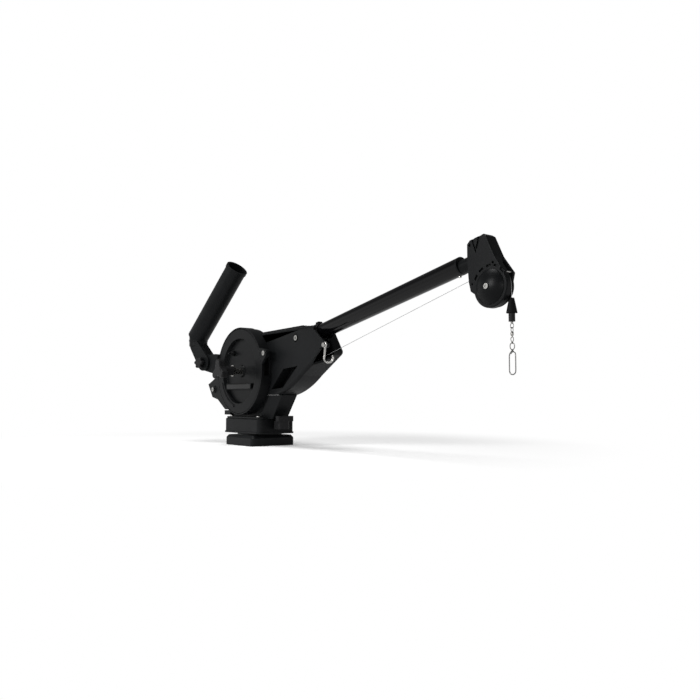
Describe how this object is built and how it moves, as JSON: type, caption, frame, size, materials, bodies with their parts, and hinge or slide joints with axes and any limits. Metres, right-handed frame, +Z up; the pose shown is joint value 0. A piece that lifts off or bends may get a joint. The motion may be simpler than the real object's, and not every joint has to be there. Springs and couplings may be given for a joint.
{
  "type": "downrigger",
  "caption": "Electric fishing downrigger: reel housing on a swivelling deck base, boom with pulley head, steel cable with bumper and snap, and a tilting rod holder.",
  "frame": {"origin": "centre of the deck plate's underside, at the middle of its bolt pattern", "axes": "+X along the boom towards the head, -Y towards the reel cover, +Z up"},
  "size_m": [0.9779, 0.17, 0.4422],
  "materials": {
    "base_metal": "satin black paint on cast metal",
    "housing_plastic": "fine grained black moulding",
    "grip_plastic": "matt black moulding",
    "cover_plastic": "smooth satin black moulding",
    "label_plastic": "blank gloss plate",
    "fitting_plastic": "satin black moulding",
    "boom_metal": "gloss black anodised tube",
    "bumper_rubber": "matt black rubber",
    "screw_steel": "bright stainless steel",
    "wire_steel": "bright stainless wire",
    "gear_metal": "machined steel",
    "spool_metal": "plain turned aluminium",
    "clutch_lining": "friction lining"
  },
  "bodies": {
    "base": {"deck_plate": "base_metal", "index_hub": "base_metal", "pivot_bolt": "screw_steel", "pivot_washer": "screw_steel", "pivot_nut": "screw_steel"},
    "upper": {"swivel_block": "housing_plastic", "pedestal": "housing_plastic", "pedestal_screws": "screw_steel", "housing_near_shell": "housing_plastic", "housing_far_shell": "housing_plastic", "housing_screws": "screw_steel", "top_cap": "housing_plastic", "power_inlet": "fitting_plastic", "reel_ring": "housing_plastic", "reel_cover": "cover_plastic", "label_plate": "label_plastic", "ear_screws": "screw_steel", "switch_boot": "fitting_plastic", "near_bearing": "screw_steel", "far_bearing": "screw_steel", "motor": "gear_metal", "boom_socket": "fitting_plastic", "boom_collar": "fitting_plastic", "boom_gland": "grip_plastic", "boom_tube": "boom_metal", "boom_end_collar": "fitting_plastic", "boom_neck": "fitting_plastic", "boom_end_screw": "screw_steel", "boom_bolt": "screw_steel", "boom_nut": "screw_steel", "head_near_half": "housing_plastic", "head_far_half": "housing_plastic", "head_core": "housing_plastic", "head_cover": "cover_plastic", "pulley_axle_screw": "screw_steel", "cable_keeper_pin": "screw_steel", "cable_run": "wire_steel", "rod_holder_arm": "housing_plastic", "rod_holder_bolt": "screw_steel", "parking_hook_pin": "screw_steel"},
    "lock_pull": {"lock_pull": "grip_plastic"},
    "spool": {"spool": "spool_metal", "cable_winding": "wire_steel", "spool_shaft": "screw_steel", "clutch_plate": "clutch_lining", "clutch_sleeve": "screw_steel"},
    "drive_gear": {"drive_gear": "gear_metal"},
    "motor_pinion": {"motor_pinion": "gear_metal"},
    "clutch_knob": {"clutch_knob": "grip_plastic"},
    "switch_lever": {"switch_lever": "fitting_plastic"},
    "head_pulley": {"head_pulley": "fitting_plastic"},
    "cable_end": {"cable_drop": "wire_steel", "bumper_cone": "bumper_rubber", "bumper_stem": "grip_plastic", "crimp_and_loop": "wire_steel"},
    "barrel_swivel": {"barrel_swivel": "wire_steel"},
    "snap": {"snap": "wire_steel"},
    "rod_holder": {"rod_holder_tube": "housing_plastic"},
    "rod_holder_knob": {"rod_holder_knob": "grip_plastic"},
    "parking_hook": {"parking_hook": "screw_steel"}
  },
  "joints": [
    {"name": "swivel_turn", "type": "hinge", "parent": "base", "child": "upper", "pos_m": [0, 0, 0.03], "axis": [0, 0, 1], "range_deg": [-180, 180]},
    {"name": "lock_slide", "type": "slide", "parent": "upper", "child": "lock_pull", "axis": [1, 0, 0], "range_m": [-0.006, 0]},
    {"name": "spool_turn", "type": "hinge", "parent": "upper", "child": "spool", "pos_m": [-0.006, 0, 0.1725], "axis": [0, 1, 0], "continuous": true},
    {"name": "gear_turn", "type": "hinge", "parent": "upper", "child": "drive_gear", "pos_m": [-0.006, 0, 0.1725], "axis": [0, 1, 0], "continuous": true},
    {"name": "pinion_turn", "type": "hinge", "parent": "upper", "child": "motor_pinion", "pos_m": [-0.055, 0, 0.102], "axis": [0, 1, 0], "continuous": true},
    {"name": "clutch_knob_turn", "type": "hinge", "parent": "spool", "child": "clutch_knob", "pos_m": [-0.006, 0, 0.1725], "axis": [0, 1, 0], "range_deg": [-45, 270]},
    {"name": "switch_tilt", "type": "hinge", "parent": "upper", "child": "switch_lever", "pos_m": [-0.044, -0.0484, 0.2155], "axis": [1, 0, 0], "range_deg": [-14, 14], "stiffness_Nm_per_rad": 0.05},
    {"name": "pulley_turn", "type": "hinge", "parent": "upper", "child": "head_pulley", "pos_m": [0.721, 0, 0.2875], "axis": [0, 1, 0], "continuous": true},
    {"name": "cable_end_swing", "type": "hinge", "parent": "upper", "child": "cable_end", "pos_m": [0.75225, 0, 0.2875], "axis": [0, 1, 0], "range_deg": [-35, 3]},
    {"name": "swivel_link_swing", "type": "hinge", "parent": "cable_end", "child": "barrel_swivel", "pos_m": [0.75225, 0, 0.2189], "axis": [1, 0, 0], "range_deg": [-35, 35]},
    {"name": "snap_spin", "type": "hinge", "parent": "barrel_swivel", "child": "snap", "pos_m": [0.75225, 0, 0.1989], "axis": [0, 0, 1], "continuous": true},
    {"name": "rod_holder_tilt", "type": "hinge", "parent": "upper", "child": "rod_holder", "pos_m": [-0.156, -0.062, 0.197], "axis": [-0.2079, 0.9781, 0], "range_deg": [-60, 20]},
    {"name": "rod_holder_knob_turn", "type": "hinge", "parent": "upper", "child": "rod_holder_knob", "pos_m": [-0.156, -0.062, 0.197], "axis": [-0.2079, 0.9781, 0], "range_deg": [-45, 270]},
    {"name": "parking_hook_swing", "type": "hinge", "parent": "upper", "child": "parking_hook", "pos_m": [0.303, -0.034, 0.217], "axis": [0, 1, 0], "range_deg": [-100, 5]}
  ],
  "couplings": [
    {"joint": "gear_turn", "follows": "spool_turn", "ratio": 1},
    {"joint": "pinion_turn", "follows": "spool_turn", "ratio": -6.8571},
    {"joint": "pulley_turn", "follows": "spool_turn", "ratio": -1.4}
  ]
}
